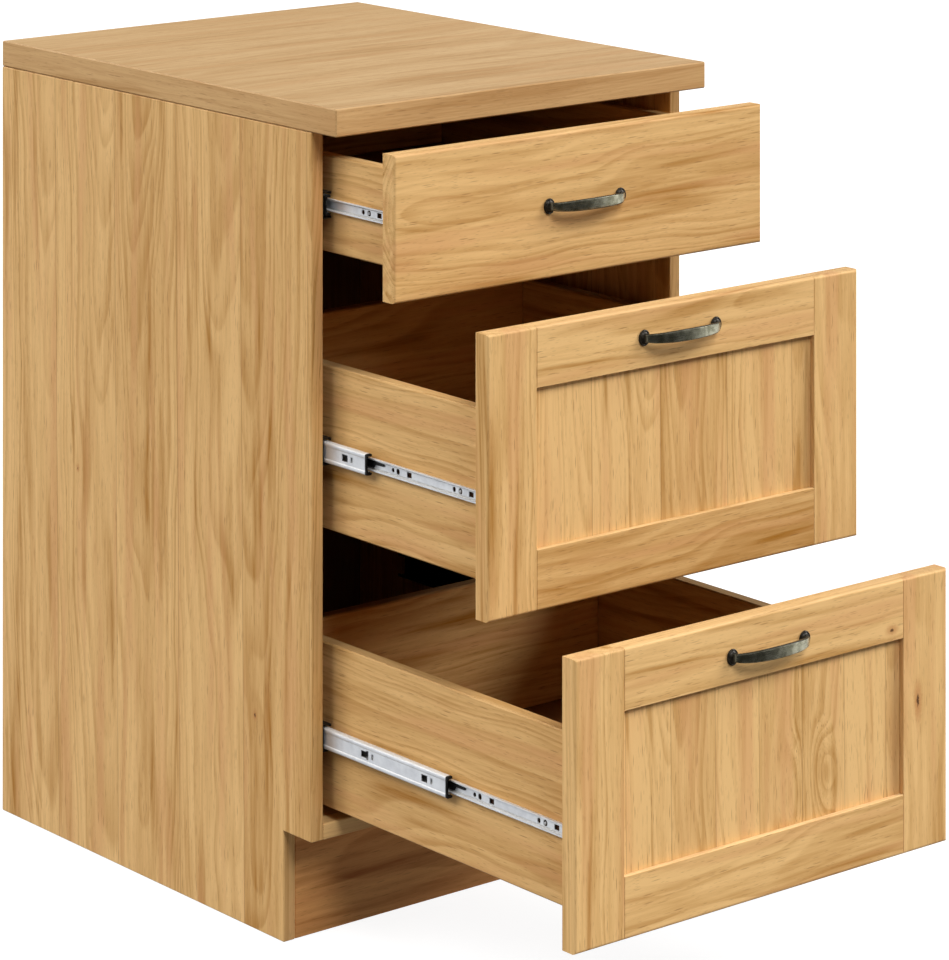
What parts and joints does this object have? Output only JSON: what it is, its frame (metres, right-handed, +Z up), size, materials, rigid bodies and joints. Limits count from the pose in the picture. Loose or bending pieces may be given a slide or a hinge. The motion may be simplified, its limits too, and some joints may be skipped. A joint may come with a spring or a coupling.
{
  "type": "base drawer cabinet",
  "caption": "Free-standing wooden base cabinet with a worktop, a recessed plinth and stacked drawers on ball-bearing slides, drawn out in steps.",
  "frame": {"origin": "centre of the plinth board's underside, on the floor", "axes": "+X to the cabinet's right as its user's left-to-right when facing it, drawers open towards -Y, +Z up"},
  "size_m": [0.5, 0.9742, 0.85],
  "materials": {
    "oiled_pine": "solid pine, honey-coloured oil, satin",
    "worktop_oak": "pale oak-patterned laminate, fine matt grain",
    "thin_ply": "thin plywood, oiled, matt",
    "zinc_steel": "bright zinc-plated pressed steel",
    "burnished_bronze": "dark antique bronze, burnished on its raised edges",
    "black_plastic": "black moulded plastic, fine texture"
  },
  "bodies": {
    "carcass": {"worktop": "worktop_oak", "left_side_panel": "oiled_pine", "right_side_panel": "oiled_pine", "bottom_panel": "oiled_pine", "plinth_board": "oiled_pine", "front_top_rail": "oiled_pine", "rear_top_rail": "oiled_pine", "back_panel": "thin_ply", "drawer_1_left_outer_rail": "zinc_steel", "drawer_1_right_outer_rail": "zinc_steel", "drawer_2_left_outer_rail": "zinc_steel", "drawer_2_right_outer_rail": "zinc_steel", "drawer_3_left_outer_rail": "zinc_steel", "drawer_3_right_outer_rail": "zinc_steel"},
    "drawer_1_slides": {"drawer_1_left_middle_rail": "zinc_steel", "drawer_1_right_middle_rail": "zinc_steel"},
    "drawer_1": {"drawer_1_left_side": "oiled_pine", "drawer_1_right_side": "oiled_pine", "drawer_1_back": "oiled_pine", "drawer_1_bottom": "thin_ply", "drawer_1_front": "oiled_pine", "drawer_1_handle": "burnished_bronze", "drawer_1_left_inner_rail": "zinc_steel", "drawer_1_right_inner_rail": "zinc_steel", "drawer_1_left_release_lever": "black_plastic", "drawer_1_right_release_lever": "black_plastic"},
    "drawer_2_slides": {"drawer_2_left_middle_rail": "zinc_steel", "drawer_2_right_middle_rail": "zinc_steel"},
    "drawer_2": {"drawer_2_left_side": "oiled_pine", "drawer_2_right_side": "oiled_pine", "drawer_2_back": "oiled_pine", "drawer_2_bottom": "thin_ply", "drawer_2_left_stile": "oiled_pine", "drawer_2_right_stile": "oiled_pine", "drawer_2_top_rail": "oiled_pine", "drawer_2_bottom_rail": "oiled_pine", "drawer_2_front_panel": "oiled_pine", "drawer_2_handle": "burnished_bronze", "drawer_2_left_inner_rail": "zinc_steel", "drawer_2_right_inner_rail": "zinc_steel", "drawer_2_left_release_lever": "black_plastic", "drawer_2_right_release_lever": "black_plastic"},
    "drawer_3_slides": {"drawer_3_left_middle_rail": "zinc_steel", "drawer_3_right_middle_rail": "zinc_steel"},
    "drawer_3": {"drawer_3_left_side": "oiled_pine", "drawer_3_right_side": "oiled_pine", "drawer_3_back": "oiled_pine", "drawer_3_bottom": "thin_ply", "drawer_3_left_stile": "oiled_pine", "drawer_3_right_stile": "oiled_pine", "drawer_3_top_rail": "oiled_pine", "drawer_3_bottom_rail": "oiled_pine", "drawer_3_front_panel": "oiled_pine", "drawer_3_handle": "burnished_bronze", "drawer_3_left_inner_rail": "zinc_steel", "drawer_3_right_inner_rail": "zinc_steel", "drawer_3_left_release_lever": "black_plastic", "drawer_3_right_release_lever": "black_plastic"}
  },
  "joints": [
    {"name": "drawer_1_middle_slide", "type": "slide", "parent": "carcass", "child": "drawer_1_slides", "axis": [0, -1, 0], "range_m": [0, 0.23]},
    {"name": "drawer_1_inner_slide", "type": "slide", "parent": "drawer_1_slides", "child": "drawer_1", "axis": [0, -1, 0], "range_m": [-0.1085, 0.0765]},
    {"name": "drawer_2_middle_slide", "type": "slide", "parent": "carcass", "child": "drawer_2_slides", "axis": [0, -1, 0], "range_m": [-0.0665, 0.1635]},
    {"name": "drawer_2_inner_slide", "type": "slide", "parent": "drawer_2_slides", "child": "drawer_2", "axis": [0, -1, 0], "range_m": [-0.1837, 0.0013]},
    {"name": "drawer_3_middle_slide", "type": "slide", "parent": "carcass", "child": "drawer_3_slides", "axis": [0, -1, 0], "range_m": [-0.1917, 0.0383]},
    {"name": "drawer_3_inner_slide", "type": "slide", "parent": "drawer_3_slides", "child": "drawer_3", "axis": [0, -1, 0], "range_m": [-0.1837, 0.0013]}
  ]
}
